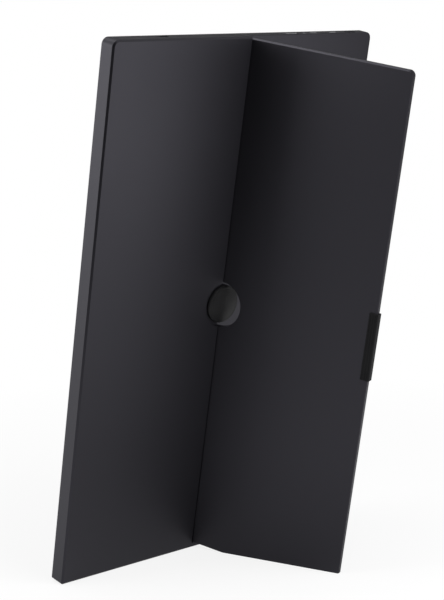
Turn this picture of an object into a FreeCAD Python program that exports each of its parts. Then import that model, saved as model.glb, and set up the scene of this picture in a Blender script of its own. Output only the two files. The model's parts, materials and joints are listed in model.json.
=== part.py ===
import FreeCAD, Part
import math
import os

Vector = FreeCAD.Vector

# Sizes are in millimetres and angles in degrees.
# The pieces are drawn upright with the flap shut: x across the back, y out of the back, z up.
# The screen faces -y, the raised back is y = 0 and the short bottom end is z = 0.

# Body
screen_width = 193.6
screen_height = 344.2
brow_width = 10.0
chin_width = 22.8
end_border = 7.75
side_wall = 1.6
back_wall = 1.4
pocket_floor = 1.0
step_wall = 1.4
top_corner_radius = 4.5
bottom_corner_radius = 1.5
back_chamfer = 1.2
pocket_chamfer = 0.5
step_edge_break = 0.3
bezel_thickness = 0.9
bezel_edge_break = 0.4
window_bevel = 0.4
rim_width = 1.2
rim_height = 1.6
rim_clearance = 0.1
snap_count = 4
snap_end_distance = 60.0
snap_length = 8.0
snap_depth = 0.5
snap_height = 0.6

# Display panel
screen_margin = 0.5
panel_border = 3.0
panel_driver_border = 8.7
tape_thickness = 0.15
tape_width = 1.6
glass_thickness = 1.0
sheet_thickness = 0.25
guide_thickness = 0.8
tray_thickness = 0.4
tray_lip = 0.6
tray_clearance = 0.1
led_strip_width = 1.2
led_count = 24
led_length = 3.0
driver_board_width = 10.0
driver_board_end_distance = 57.0
driver_board_gap = 0.9
driver_board_thickness = 0.6

# Stand flap and its pose
flap_sink = 0.1
flap_overhang = 1.15
flap_top_gap = 1.0
flap_corner_radius = 6.0
flap_edge_break = 0.4
flap_skin = 1.2
flap_plate_thickness = 1.0
flap_head_clearance = 0.1
flap_plate_clearance = 0.15
flap_rim = 3.0
hinge_rim = 5.0
rib_width = 1.2
rib_columns = 3
rib_rows = 7
knee_reach = 25.4
cut_angle = 9.75
open_angle = 71.65
step_from_middle = 0.74
hinge_gap = 0.3
pocket_clearance = 0.3
pocket_gap = 0.5

# Friction hinges
hinge_end_distance = 45.0
pin_radius = 0.7
pin_running_clearance = 0.05
clip_clearance = 0.03
press_clearance = 0.02
barrel_skin = 0.45
knuckle_clearance = 0.15
knuckle_length = 8.0
lug_length = 3.0
knuckle_gap = 0.3
clip_count = 4
clip_thickness = 2.75
clip_gap = 0.15
clip_slit = 0.3
lug_web = 1.0
bracket_thickness = 1.0
bracket_clearance = 0.2
bracket_reach = 12.0
leaf_thickness = 0.8
leaf_reach = 20.0
hinge_screw_spacing = 10.0

# Feet
foot_radius = 13.0
foot_ring = 2.6
foot_seat_depth = 1.6
foot_rim_height = 0.9
foot_height = 3.4
foot_edge_break = 0.8
foot_bands = 2
spigot_radius = 4.0
spigot_length = 2.0
spigot_clearance = 0.05
strip_length = 45.5
strip_cover = 6.0
strip_proud = 1.0
strip_beyond = 1.3
strip_radius = 0.6

# Top side: distances along it are from the long side nearest to the piece
button_height = 2.0
button_proud = 0.3
button_travel = 0.3
button_clearance = 0.3
button_flange = 0.6
button_flange_thickness = 0.8
button_flange_gap = 0.1
button_stem_length = 0.6
button_stem_width = 2.4
button_edge_break = 0.2
power_button_from_side = 73.95
power_button_length = 9.6
menu_button_from_side = 53.8
select_button_from_side = 35.4
small_button_length = 5.8
light_from_side = 61.9
light_radius = 0.9
light_clearance = 0.1
light_length = 3.4
usb_from_side = 18.95
usb_width = 8.94
usb_height = 3.16
usb_length = 7.3
usb_wall = 0.3
usb_inset = 0.3
usb_clearance = 0.2
usb_bay_clearance = 0.07
tongue_width = 6.7
tongue_thickness = 0.7
tongue_length = 4.6
lock_from_side = 44.5
lock_depth = 7.5
lock_width = 7.0
lock_height = 3.0
lock_corner = 0.5
lock_plate_width = 16.0
lock_plate_margin = 2.0
lock_plate_thickness = 1.0

# Electronics
insulator_thickness = 0.15
insulator_margin = 1.5
board_thickness = 0.8
board_height = 54.0
board_end_distance = 10.0
board_post_gap = 1.75
board_corner_radius = 2.0
board_wall_gap = 3.6
board_cutout_clearance = 0.3
can_width = 30.0
can_length = 22.0
can_height = 1.9
can_wall = 0.3
can_from_end = 38.0
processor_side = 14.0
processor_height = 1.2
memory_width = 8.0
memory_length = 11.0
memory_height = 0.9
chip_gap = 5.0
coil_side = 5.0
coil_height = 1.8
coil_pitch = 7.5
coil_count = 3
coil_from_end = 16.0
coil_from_top = 10.0
coil_gap = 4.5
port_chip_side = 6.0
small_part_width = 1.6
small_part_length = 0.8
small_part_height = 0.6
small_part_pitch = 3.5
small_part_columns = 4
small_part_rows = 3
switch_width = 4.2
switch_height = 2.0
switch_length = 2.6
plunger_width = 1.6
plunger_height = 0.9
plunger_length = 0.8
cable_width = 16.0
cable_thickness = 0.3
cable_overlap = 8.0

# Screws
fastener_sides = 8
screw_radius = 0.95
screw_clearance = 0.15
screw_head_radius = 1.9
screw_head_height = 0.8
wafer_head_height = 0.5
recess_length = 2.2
recess_width = 0.6
recess_depth = 0.5
screw_skin = 0.7
cover_screw_count = 5
cover_screw_end_distance = 30.0
cover_boss_radius = 3.2
cover_boss_height = 1.4
post_radius = 2.6
post_gap = 0.05
boss_radius = 2.5
board_screw_inset = 3.5

# Depths and places that follow from the sizes
body_width = screen_width + brow_width + chin_width
body_height = screen_height + 2 * end_border
half_width = body_width / 2
middle_z = body_height / 2
flap_thickness = (flap_skin + leaf_thickness + wafer_head_height + flap_head_clearance
                  + flap_plate_thickness)
pocket_depth = flap_sink + flap_thickness + pocket_clearance
panel_depth = tape_thickness + glass_thickness + sheet_thickness + guide_thickness + tray_thickness
port_bay = usb_height + 2 * usb_bay_clearance
body_depth = bezel_thickness + panel_depth + port_bay + pocket_floor + pocket_depth
bezel_back_y = bezel_thickness - body_depth
glass_y = bezel_back_y + tape_thickness
sheet_y = glass_y + glass_thickness
guide_y = sheet_y + sheet_thickness
tray_y = guide_y + guide_thickness
panel_back_y = tray_y + tray_thickness
board_y = panel_back_y + insulator_thickness
board_back_y = board_y + board_thickness
flap_radius = flap_thickness / 2
knuckle_radius = flap_radius - barrel_skin - knuckle_clearance
axis_y = -(flap_sink + flap_radius)
axis_x = step_from_middle - hinge_gap - flap_radius
flap_outer_y = axis_y + flap_radius
flap_inner_y = axis_y - flap_radius
flap_skin_y = flap_outer_y - flap_skin
flap_plate_y = flap_inner_y + flap_plate_thickness
pocket_y = -pocket_depth
floor_y = pocket_y - pocket_floor
port_y = (floor_y + panel_back_y) / 2
flap_top = body_height - flap_top_gap
flap_reach = axis_x + half_width + flap_overhang
flap_tip_x = axis_x - flap_reach
foot_x = axis_x
notch_radius = foot_radius + foot_ring

# The flap's cut edge lies on the table when the open flap and the body's back edge carry the monitor.
cut_slope = math.tan(math.radians(cut_angle))
open_turn = math.radians(open_angle)
lean_turn = math.atan(cut_slope / math.sin(open_turn))
knee_depth = axis_y + knee_reach * math.sin(open_turn) + flap_radius * math.cos(open_turn)
flap_bottom = (knee_depth + back_chamfer) * math.tan(lean_turn)
flap_tip_z = flap_bottom + (flap_reach - knee_reach) * cut_slope

panel_right = half_width - brow_width + panel_border
panel_left = chin_width - half_width - panel_driver_border
panel_low = end_border - panel_border
panel_high = body_height - panel_low
chin_post_x = (panel_left + side_wall - half_width) / 2

clip_stack = clip_count * clip_thickness + (clip_count - 1) * clip_gap
bracket_length = 2 * (lug_length + knuckle_gap) + clip_stack
hinge_length = bracket_length + 2 * (knuckle_gap + knuckle_length)
bracket_y = pocket_y - bracket_thickness
web_left = axis_x - lug_web / 2
web_right = axis_x + lug_web / 2
bracket_end_x = step_from_middle + step_wall + bracket_reach
bracket_screw_x = step_from_middle + step_wall + bracket_reach / 2
leaf_y = flap_skin_y - leaf_thickness
leaf_screw_x = axis_x - (hinge_rim + leaf_reach) / 2
hinge_heights = {"lower": hinge_end_distance, "upper": body_height - hinge_end_distance}

board_right = -board_end_distance
board_left = chin_post_x + post_radius + board_post_gap
board_top = body_height - side_wall - board_wall_gap
board_low = board_top - board_height
insulator_low = board_low - insulator_margin
driver_board_top = insulator_low - driver_board_gap
driver_board_left = panel_left + tray_lip + led_strip_width
coil_z = board_top - coil_from_top
can_x = board_right - can_from_end
can_z = coil_z - (coil_side + can_length) / 2 - coil_gap
flange_z = body_height - side_wall - button_flange_gap
stem_z = flange_z - button_flange_thickness - button_stem_length
plunger_z = stem_z - button_travel - button_flange_gap
usb_x = usb_from_side - half_width
light_x = light_from_side - half_width
lock_x = half_width - lock_from_side
buttons = {
    "power_button": (power_button_from_side - half_width, power_button_length),
    "menu_button": (menu_button_from_side - half_width, small_button_length),
    "select_button": (select_button_from_side - half_width, small_button_length),
}


# Shapes that several pieces use

def rounded_face(corners, place):
    """Flat face with corners (a, b, radius), taken in order; place turns (a, b) into a point."""
    edges = []
    ends = []
    count = len(corners)
    for index, (a, b, radius) in enumerate(corners):
        point = Vector(a, b, 0)
        before = Vector(*corners[index - 1][:2], 0) - point
        after = Vector(*corners[(index + 1) % count][:2], 0) - point
        if radius <= 0:
            ends.append((point, point))
            continue
        half_turn = before.getAngle(after) / 2
        before.normalize()
        after.normalize()
        reach = radius / math.tan(half_turn)
        inward = (before + after).normalize()
        centre = point + inward * (radius / math.sin(half_turn))
        start = point + before * reach
        finish = point + after * reach
        middle = centre - inward * radius
        ends.append((start, finish))
        edges.append(Part.Arc(*[place(p.x, p.y) for p in (start, middle, finish)]).toShape())
    for index, (start, finish) in enumerate(ends):
        following = ends[(index + 1) % count][0]
        edges.append(Part.makeLine(place(finish.x, finish.y), place(following.x, following.y)))
    return Part.Face(Part.Wire(Part.sortEdges(edges)[0]))


def plate(corners, low_y, high_y):
    """Plate with an outline in x and z, between two depths."""
    face = rounded_face(corners, lambda x, z: Vector(x, low_y, z))
    return face.extrude(Vector(0, high_y - low_y, 0))


def bar(corners, low_z, high_z):
    """Bar with a section in x and y, between two heights."""
    face = rounded_face(corners, lambda x, y: Vector(x, y, low_z))
    return face.extrude(Vector(0, 0, high_z - low_z))


def block(x_range, y_range, z_range):
    """Plain block between two values on each axis."""
    sizes = [high - low for low, high in (x_range, y_range, z_range)]
    return Part.makeBox(*sizes, Vector(x_range[0], y_range[0], z_range[0]))


def disc(x, z, radius, low_y, high_y):
    """Round piece whose axis runs out of the back."""
    return Part.makeCylinder(radius, high_y - low_y, Vector(x, low_y, z), Vector(0, 1, 0))


def many_sided(a, b, radius):
    """Corners of a small round with few sides, all within its radius."""
    turns = [2 * math.pi * index / fastener_sides for index in range(fastener_sides)]
    return [(a + radius * math.cos(turn), b + radius * math.sin(turn), 0) for turn in turns]


def many_sided_hole(a, b, radius):
    """Corners of a small hole with few sides, all outside its radius."""
    return many_sided(a, b, radius / math.cos(math.pi / fastener_sides))


def peg(x, z, radius, low_y, high_y):
    """Small round along y, for screws and the bosses that take them."""
    return plate(many_sided(x, z, radius), low_y, high_y)


def peg_hole(x, z, radius, low_y, high_y):
    """Small hole along y."""
    return plate(many_sided_hole(x, z, radius), low_y, high_y)


def rod(x, y, radius, low_z, high_z):
    """Round piece whose axis runs up the body."""
    return Part.makeCylinder(radius, high_z - low_z, Vector(x, y, low_z), Vector(0, 0, 1))


def rectangle(x_range, z_range, radius=0):
    """Corners of a rectangle with one corner radius."""
    (left, right), (low, high) = x_range, z_range
    return [(left, low, radius), (right, low, radius), (right, high, radius), (left, high, radius)]


def pill(x, y, length, height, low_z, high_z):
    """Bar with straight sides and round ends, centred at x and y."""
    face_edges = []
    straight = (length - height) / 2
    for side in (1, -1):
        centre_x = x + side * straight
        tip = Vector(centre_x + side * height / 2, y, low_z)
        ends = [Vector(centre_x, y + side * turn * height / 2, low_z) for turn in (-1, 1)]
        face_edges.append(Part.Arc(ends[0], tip, ends[1]).toShape())
        across = Vector(x - side * straight, y + side * height / 2, low_z)
        face_edges.append(Part.makeLine(ends[1], across))
    face = Part.Face(Part.Wire(Part.sortEdges(face_edges)[0]))
    return face.extrude(Vector(0, 0, high_z - low_z))


def joined(shapes):
    """One solid from pieces that touch or overlap."""
    first, *rest = shapes
    return first.multiFuse(rest).removeSplitter() if rest else first


def group(shapes):
    """Separate solids kept together as one set."""
    return Part.makeCompound(shapes)


def edges_where(shape, test):
    """Edges whose two ends and middle all pass the test."""
    picked = []
    for edge in shape.Edges:
        first, last = edge.ParameterRange
        if all(test(edge.valueAt(first + share * (last - first))) for share in (0, 0.5, 1)):
            picked.append(edge)
    return picked


def body_outline(inset=0.0):
    """Corners of the body's outline, drawn in by an inset."""
    side = half_width - inset
    low, high = inset, body_height - inset
    least = 0.5
    top = max(top_corner_radius - inset, least)
    bottom = max(bottom_corner_radius - inset, least)
    return [(-side, low, bottom), (side, low, bottom), (side, high, top), (-side, high, top)]


def near_outline(point):
    """True for a point on the body's outer outline, its round corners included."""
    corner_sag = 0.3 * max(top_corner_radius, bottom_corner_radius)
    edge_distance = min(half_width - abs(point.x), point.z, body_height - point.z)
    return edge_distance < corner_sag


def flat_at(point, y):
    """True for a point at a given depth."""
    return abs(point.y - y) < 1e-4


def screw(x, z, head_y, tip_y, head_height):
    """Pan head screw along y: its head rests at head_y, on the far side from the tip."""
    outward = 1 if head_y > tip_y else -1
    head_top = head_y + outward * head_height
    head = peg(x, z, screw_head_radius, min(head_y, head_top), max(head_y, head_top))
    shank = peg(x, z, screw_radius, min(head_y, tip_y), max(head_y, tip_y))
    return joined([head, shank])


def cross_recess(x, z, top_y):
    """Cross sunk in a screw's head for the driver's tip."""
    depth = (top_y - recess_depth, top_y)
    long_side = recess_length / 2
    short_side = recess_width / 2
    return joined([block((x - long_side, x + long_side), depth, (z - short_side, z + short_side)),
                   block((x - short_side, x + short_side), depth, (z - long_side, z + long_side))])


def spread(first, last, count):
    """Evenly spaced places from first to last."""
    return [first + (last - first) * index / (count - 1) for index in range(count)]


cover_screw_heights = spread(cover_screw_end_distance, body_height - cover_screw_end_distance,
                             cover_screw_count)
snap_heights = spread(snap_end_distance, body_height - snap_end_distance, snap_count)
board_screw_places = [(x, z)
                      for x in (board_left + board_screw_inset, board_right - board_screw_inset)
                      for z in (board_low + board_screw_inset, board_top - 4 * board_screw_inset)]


def snap_hook(z, grow=0.0):
    """Hook on the bezel's rim, on the side with no screws; grow gives the recess that takes it."""
    high = bezel_back_y + rim_height
    face = half_width - side_wall - rim_clearance
    return block((face - grow, face + snap_depth + grow), (high - snap_height - grow, high + grow),
                 (z - snap_length / 2 - grow, z + snap_length / 2 + grow))


def bracket_screw_heights(height):
    """Heights of one hinge's two screws."""
    return [height - hinge_screw_spacing / 2, height + hinge_screw_spacing / 2]


# Rear cover: a moulded tub with a raised half, the flap's pocket and a fixed wedge under the flap

def rear_cover():
    base = plate(body_outline(), bezel_back_y, pocket_y)
    raised = plate([(step_from_middle, 0, 0), (half_width, 0, bottom_corner_radius),
                    (half_width, body_height, top_corner_radius), (step_from_middle, body_height, 0)],
                   pocket_y, 0)
    wedge_low = flap_bottom - pocket_gap
    wedge_high = wedge_low + (axis_x + half_width - knee_reach) * cut_slope
    wedge = plate([(-half_width, 0, bottom_corner_radius), (step_from_middle, 0, 0),
                   (step_from_middle, wedge_low, 0), (axis_x - knee_reach, wedge_low, 0),
                   (-half_width, wedge_high, 0)], pocket_y, 0)
    back = joined([raised, wedge])
    back_edges = edges_where(back, lambda p: flat_at(p, 0) and near_outline(p))
    back = back.makeChamfer(back_chamfer, back_edges)
    step_edges = edges_where(back, lambda p: flat_at(p, 0) and abs(p.x - step_from_middle) < 1e-4)
    back = back.makeChamfer(step_edge_break, step_edges)
    cover = joined([base, back])
    pocket_edges = edges_where(
        cover, lambda p: flat_at(p, pocket_y) and near_outline(p) and p.x < axis_x)
    cover = cover.makeChamfer(pocket_chamfer, pocket_edges)

    inside = plate(body_outline(side_wall), bezel_back_y, floor_y)
    raised_inside = plate(rectangle((step_from_middle + step_wall, half_width - side_wall),
                                    (side_wall, body_height - side_wall), side_wall),
                          floor_y, -back_wall)
    cover = cover.cut(inside).cut(raised_inside)

    seat_y = -foot_seat_depth
    seat_boss = disc(foot_x, middle_z, notch_radius + step_wall, floor_y, seat_y)
    raised_side = block((step_from_middle, half_width), (floor_y, 0), (0, body_height))
    pedestal = disc(foot_x, middle_z, foot_radius, floor_y, seat_y)
    bosses = [seat_boss.common(raised_side), pedestal]
    for height in hinge_heights.values():
        for z in bracket_screw_heights(height):
            bosses.append(peg(bracket_screw_x, z, boss_radius, pocket_y, -back_wall))
    for z in cover_screw_heights:
        bosses.append(peg(chin_post_x, z, cover_boss_radius, floor_y - cover_boss_height, floor_y))
    cover = joined([cover] + bosses)

    seat = disc(foot_x, middle_z, notch_radius, seat_y, foot_height)
    openings = [seat.common(block((step_from_middle - step_wall, half_width),
                                  (seat_y, foot_height), (0, body_height)))]
    openings.append(disc(foot_x, middle_z, spigot_radius + spigot_clearance,
                         seat_y - spigot_length - spigot_clearance, seat_y))
    for height in hinge_heights.values():
        reach = bracket_length / 2 + bracket_clearance
        openings.append(block((web_left - bracket_clearance, step_from_middle + step_wall),
                              (floor_y, pocket_y), (height - reach, height + reach)))
        for z in bracket_screw_heights(height):
            openings.append(peg_hole(bracket_screw_x, z, screw_radius + press_clearance,
                                     pocket_y, -screw_skin))
    head_depth = screw_head_height + 2 * screw_clearance
    for z in cover_screw_heights:
        openings.append(peg_hole(chin_post_x, z, screw_head_radius + screw_clearance,
                                 pocket_y - head_depth, pocket_y))
        openings.append(peg_hole(chin_post_x, z, screw_radius + screw_clearance,
                                 floor_y - cover_boss_height, pocket_y))
    openings += [snap_hook(z, rim_clearance) for z in snap_heights]
    through = (body_height - side_wall, body_height)
    for x, length in buttons.values():
        openings.append(pill(x, port_y, length + 2 * button_clearance,
                             button_height + 2 * button_clearance, *through))
    openings.append(rod(light_x, port_y, light_radius + light_clearance, *through))
    openings.append(pill(usb_x, port_y, usb_width + 2 * usb_clearance,
                         usb_height + 2 * usb_clearance, *through))
    openings.append(bar(lock_section(), *through))
    return cover.cut(group(openings)).removeSplitter()


def lock_section():
    """Section of the lock slot, in x and y."""
    return rectangle((lock_x - lock_width / 2, lock_x + lock_width / 2),
                     (-lock_depth - lock_height / 2, -lock_depth + lock_height / 2), lock_corner)


def lock_plate():
    high = body_height - side_wall
    low = high - lock_plate_thickness
    above_rim = bezel_back_y + rim_height + rim_clearance
    slab = block((lock_x - lock_plate_width / 2, lock_x + lock_plate_width / 2),
                 (above_rim, lock_height / 2 + lock_plate_margin - lock_depth), (low, high))
    return slab.cut(bar(lock_section(), low, high))


# Front bezel: a flat frame with a locating rim and the posts that take the cover screws

def front_bezel():
    frame = plate(body_outline(), -body_depth, bezel_back_y)
    front_edges = edges_where(frame, lambda p: flat_at(p, -body_depth))
    frame = frame.makeChamfer(bezel_edge_break, front_edges)
    window = plate(rectangle((half_width - brow_width - screen_width - screen_margin,
                              half_width - brow_width + screen_margin),
                             (panel_low + panel_border - screen_margin,
                              panel_high - panel_border + screen_margin)), -body_depth, bezel_back_y)
    rim_inset = side_wall + rim_clearance
    frame = frame.cut(window)
    window_edges = edges_where(frame, lambda p: flat_at(p, -body_depth) and not near_outline(p))
    frame = frame.makeChamfer(window_bevel, window_edges)
    rim = plate(body_outline(rim_inset), bezel_back_y, bezel_back_y + rim_height)
    rim = rim.cut(plate(body_outline(rim_inset + rim_width), bezel_back_y, bezel_back_y + rim_height))
    hooks = [snap_hook(z) for z in snap_heights]
    post_top = floor_y - cover_boss_height - post_gap
    posts = [peg(chin_post_x, z, post_radius, bezel_back_y, post_top) for z in cover_screw_heights]
    holes = [peg_hole(chin_post_x, z, screw_radius + press_clearance, bezel_back_y, post_top)
             for z in cover_screw_heights]
    return joined([frame, rim] + hooks + posts).cut(group(holes))


def cover_screws():
    top_y = pocket_y - 2 * screw_clearance
    head_y = top_y - screw_head_height
    return group([screw(chin_post_x, z, head_y, bezel_back_y + screw_skin, screw_head_height)
                  .cut(cross_recess(chin_post_x, z, top_y)) for z in cover_screw_heights])


# Display panel, from the glass back to the metal tray

def panel_slab(inset, low_y, high_y, strip=0.0):
    """Slab over the panel's outline; strip draws in the side that holds the light strip."""
    return block((panel_left + inset + strip, panel_right - inset), (low_y, high_y),
                 (panel_low + inset, panel_high - inset))


def panel_tape():
    outer = panel_slab(0, bezel_back_y, glass_y)
    inner = block((panel_left + tape_width, panel_right - tape_width), (bezel_back_y, glass_y),
                  (panel_low + tape_width, panel_high - tape_width))
    return outer.cut(inner)


def panel_tray():
    tray = panel_slab(0, sheet_y, panel_back_y).cut(panel_slab(tray_lip, sheet_y, tray_y))
    holes = [peg_hole(x, z, screw_radius + press_clearance, tray_y, panel_back_y)
             for x, z in board_screw_places]
    return tray.cut(group(holes))


def led_strip():
    """Flexible strip along the tray's lip with a row of side-firing lights."""
    low_x = panel_left + tray_lip + tray_clearance
    strip_backing = led_strip_width / 3
    strip = block((low_x, low_x + strip_backing), (guide_y, tray_y),
                  (panel_low + panel_border, panel_high - panel_border))
    lights = [block((low_x + strip_backing, low_x + led_strip_width), (guide_y, tray_y),
                    (z - led_length / 2, z + led_length / 2))
              for z in spread(panel_low + 2 * panel_border, panel_high - 2 * panel_border, led_count)]
    return joined([strip] + lights)


def driver_board():
    return block((driver_board_left, driver_board_left + driver_board_width),
                 (panel_back_y, panel_back_y + driver_board_thickness),
                 (panel_low + driver_board_end_distance, driver_board_top))


def panel_cable():
    """Flat cable from the driver board up to the main board, with a foot on each."""
    low_x = board_left + board_screw_inset * 3
    high_x = low_x + cable_width
    cable_back_y = board_back_y + cable_thickness
    foot_low = driver_board_top - cable_overlap
    run = block((low_x, high_x), (board_back_y, cable_back_y), (foot_low, board_low + cable_overlap))
    foot = block((driver_board_left, high_x),
                 (panel_back_y + driver_board_thickness, cable_back_y), (foot_low, driver_board_top))
    return joined([run, foot])


# Main board on the tray's back, with the parts that reach the top side

def usb_cutout(low_y, high_y, clearance):
    """Space in a board for the port's shell."""
    reach = usb_width / 2 + clearance
    low_z = body_height - usb_inset - usb_length - clearance
    return block((usb_x - reach, usb_x + reach), (low_y, high_y), (low_z, body_height))


def board_holes(low_y, high_y):
    """Screw holes through a board."""
    return [peg_hole(x, z, screw_radius + screw_clearance, low_y, high_y) for x, z in board_screw_places]


def insulator_sheet():
    sheet = plate(rectangle((panel_left + tray_lip, board_right + insulator_margin),
                            (insulator_low, panel_high - tray_lip)), panel_back_y, board_y)
    cuts = [usb_cutout(panel_back_y, board_y, board_cutout_clearance)] + board_holes(panel_back_y, board_y)
    return sheet.cut(group(cuts))


def main_board():
    board = plate(rectangle((board_left, board_right), (board_low, board_top), board_corner_radius),
                  board_y, board_back_y)
    cuts = [usb_cutout(board_y, board_back_y, board_cutout_clearance)] + board_holes(board_y, board_back_y)
    return board.cut(group(cuts))


def board_screws():
    return group([screw(x, z, board_back_y, tray_y, screw_head_height) for x, z in board_screw_places])


def board_part(x, z, width, length, height):
    """Block on the board, centred at x and z."""
    return block((x - width / 2, x + width / 2), (board_back_y, board_back_y + height),
                 (z - length / 2, z + length / 2))


def board_chips():
    """Picture processor under the can, memory, power coils, port controller and small parts."""
    processor = board_part(can_x, can_z, processor_side, processor_side, processor_height)
    memory_x = can_x + (can_width + memory_width) / 2 + chip_gap
    memory = board_part(memory_x, can_z, memory_width, memory_length, memory_height)
    coils = [board_part(board_right - coil_from_end - coil_pitch * index, coil_z,
                        coil_side, coil_side, coil_height) for index in range(coil_count)]
    port_z = body_height - usb_inset - usb_length - (chip_gap + port_chip_side) / 2
    port_chip = board_part(usb_x, port_z, port_chip_side, port_chip_side, memory_height)
    small_x = can_x - can_width / 2 - chip_gap
    small_parts = [board_part(small_x - small_part_pitch * column, can_z - small_part_pitch * row,
                              small_part_width, small_part_length, small_part_height)
                   for column in range(small_part_columns) for row in range(small_part_rows)]
    return group([processor, memory, port_chip] + coils + small_parts)


def shield_can():
    outer = board_part(can_x, can_z, can_width, can_length, can_height)
    inner = board_part(can_x, can_z, can_width - 2 * can_wall, can_length - 2 * can_wall,
                       can_height - can_wall)
    return outer.cut(inner)


def usb_shell():
    high = body_height - usb_inset
    low = high - usb_length
    tube = pill(usb_x, port_y, usb_width, usb_height, low, high)
    bore = pill(usb_x, port_y, usb_width - 2 * usb_wall, usb_height - 2 * usb_wall,
                low + usb_wall, high)
    return tube.cut(bore)


def usb_tongue():
    low = body_height - usb_inset - usb_length + usb_wall
    return block((usb_x - tongue_width / 2, usb_x + tongue_width / 2),
                 (port_y - tongue_thickness / 2, port_y + tongue_thickness / 2),
                 (low, low + tongue_length))


def tact_switches():
    """Side-push switches at the board's upper edge, one behind each button."""
    switches = []
    switch_y = board_back_y + switch_height / 2
    for x, _length in buttons.values():
        top = plunger_z - plunger_length
        case = block((x - switch_width / 2, x + switch_width / 2),
                     (board_back_y, board_back_y + switch_height), (top - switch_length, top))
        plunger = block((x - plunger_width / 2, x + plunger_width / 2),
                        (switch_y - plunger_height / 2, switch_y + plunger_height / 2), (top, plunger_z))
        switches.append(joined([case, plunger]))
    return group(switches)


def light_pipe():
    """Clear pipe that carries the status light from the board to the top side."""
    low = body_height - light_length
    foot_half = light_radius
    foot = block((light_x - foot_half, light_x + foot_half),
                 (board_back_y, port_y + light_radius), (board_top - light_radius, low))
    return joined([rod(light_x, port_y, light_radius, low, body_height), foot])


def push_button(x, length):
    """Pill-shaped cap in the top wall, with a flange that holds it in and a stem on its switch."""
    crown_z = body_height + button_proud
    cap = pill(x, port_y, length, button_height, flange_z, crown_z)
    cap = cap.makeChamfer(button_edge_break, edges_where(cap, lambda p: abs(p.z - crown_z) < 1e-4))
    flange_reach = length / 2 + button_clearance + button_flange
    flange_low = flange_z - button_flange_thickness
    y_range = (port_y - button_height / 2, port_y + button_height / 2)
    flange = block((x - flange_reach, x + flange_reach), y_range, (flange_low, flange_z))
    stem = block((x - button_stem_width / 2, x + button_stem_width / 2), y_range, (stem_z, flange_low))
    return joined([cap, flange, stem])


# Friction hinges: pin turning with the flap, clips that grip it held on the bracket in the pocket's floor

def hinge_bracket(height):
    """Plate under the step wall, with a lug at each end that rises to the pin."""
    low = height - bracket_length / 2
    high = height + bracket_length / 2
    pieces = [block((web_left, bracket_end_x), (bracket_y, pocket_y), (low, high))]
    for lug_low in (low, high - lug_length):
        lug_high = lug_low + lug_length
        pieces.append(rod(axis_x, axis_y, knuckle_radius, lug_low, lug_high))
        pieces.append(block((web_left, web_right), (pocket_y, axis_y), (lug_low, lug_high)))
    cuts = [rod(axis_x, axis_y, pin_radius + pin_running_clearance, low, high)]
    for z in bracket_screw_heights(height):
        cuts.append(peg_hole(bracket_screw_x, z, screw_radius + screw_clearance, bracket_y, pocket_y))
    return joined(pieces).cut(group(cuts))


def friction_clips(height):
    """Row of split spring rings on the pin, each with a tail that stands on the bracket."""
    clips = []
    low = height - clip_stack / 2
    for index in range(clip_count):
        clip_low = low + index * (clip_thickness + clip_gap)
        clip_high = clip_low + clip_thickness
        ring = bar(many_sided(axis_x, axis_y, knuckle_radius), clip_low, clip_high)
        tail = block((web_left, web_right), (pocket_y, axis_y), (clip_low, clip_high))
        slit = block((axis_x - clip_slit / 2, axis_x + clip_slit / 2),
                     (axis_y, axis_y + knuckle_radius), (clip_low, clip_high))
        bore = bar(many_sided_hole(axis_x, axis_y, pin_radius + clip_clearance), clip_low, clip_high)
        clips.append(joined([ring, tail]).cut(slit).cut(bore))
    return group(clips)


def hinge_leaf(height):
    low = height - hinge_length / 2
    high = height + hinge_length / 2
    inner_x = axis_x - knuckle_radius - knuckle_gap
    pieces = [block((axis_x - leaf_reach, inner_x), (leaf_y, flap_skin_y), (low, high))]
    for knuckle_low in (low, high - knuckle_length):
        knuckle_high = knuckle_low + knuckle_length
        pieces.append(rod(axis_x, axis_y, knuckle_radius, knuckle_low, knuckle_high))
        pieces.append(block((inner_x, axis_x), (leaf_y, flap_skin_y), (knuckle_low, knuckle_high)))
    cuts = [rod(axis_x, axis_y, pin_radius + press_clearance, low, high)]
    for z in bracket_screw_heights(height):
        cuts.append(peg_hole(leaf_screw_x, z, screw_radius + screw_clearance, leaf_y, flap_skin_y))
    return joined(pieces).cut(group(cuts))


def hinge_pin(height):
    return rod(axis_x, axis_y, pin_radius, height - hinge_length / 2, height + hinge_length / 2)


def bracket_screws():
    return group([screw(bracket_screw_x, z, bracket_y, -screw_skin, screw_head_height)
                  for height in hinge_heights.values() for z in bracket_screw_heights(height)])


def leaf_screws():
    return group([screw(leaf_screw_x, z, leaf_y, flap_outer_y - screw_skin, wafer_head_height)
                  for height in hinge_heights.values() for z in bracket_screw_heights(height)])


# Stand flap: an outer shell with a round hinge edge and ribs, closed by an inner plate

def flap_space(inset, hinge_inset, low_y, high_y):
    """Flap outline drawn in from its edges, and kept clear of the notch round the middle foot."""
    slant = inset / math.cos(math.radians(cut_angle))
    low = flap_bottom + inset
    tip_x = flap_tip_x + inset
    tip_z = flap_tip_z + slant - inset * cut_slope
    top = flap_top - inset
    radius = max(flap_corner_radius - inset, 0)
    corners = [(axis_x - hinge_inset, low, 0), (axis_x - knee_reach, low, 0), (tip_x, tip_z, 0),
               (tip_x, top, radius), (axis_x - hinge_inset, top, 0)]
    notch = disc(foot_x, middle_z, notch_radius + inset, low_y, high_y)
    return plate(corners, low_y, high_y).cut(notch)


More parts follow.
